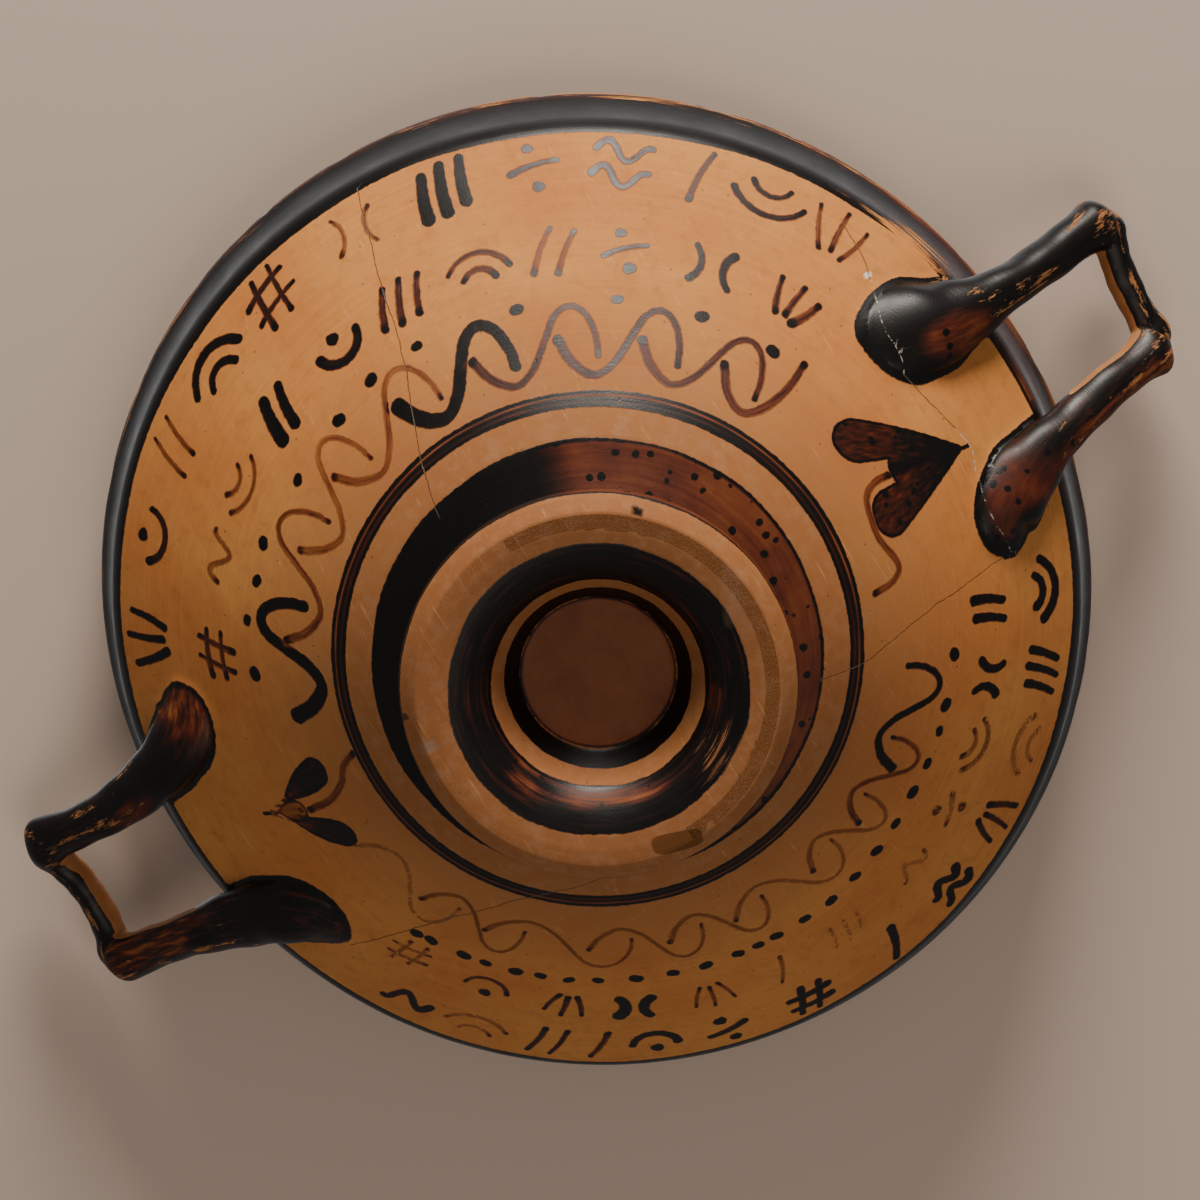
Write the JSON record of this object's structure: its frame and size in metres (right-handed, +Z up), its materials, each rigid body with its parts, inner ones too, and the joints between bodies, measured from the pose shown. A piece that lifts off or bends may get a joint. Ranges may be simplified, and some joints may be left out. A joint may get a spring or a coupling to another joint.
{
  "type": "kylix cup",
  "caption": "Shallow footed drinking cup of painted clay with an upright lip and squared loop handles, banded and marked with brush strokes.",
  "frame": {"origin": "middle of the flat ring that the cup stands on", "axes": "+Z up along the turning axis of the cup, +X through the middle of one handle, the other handle on -X"},
  "size_m": [0.2764, 0.2178, 0.0905],
  "materials": {
    "painted_clay": "burnished orange clay with glossy black slip"
  },
  "bodies": {
    "root": {"kylix": "painted_clay"}
  },
  "joints": []
}
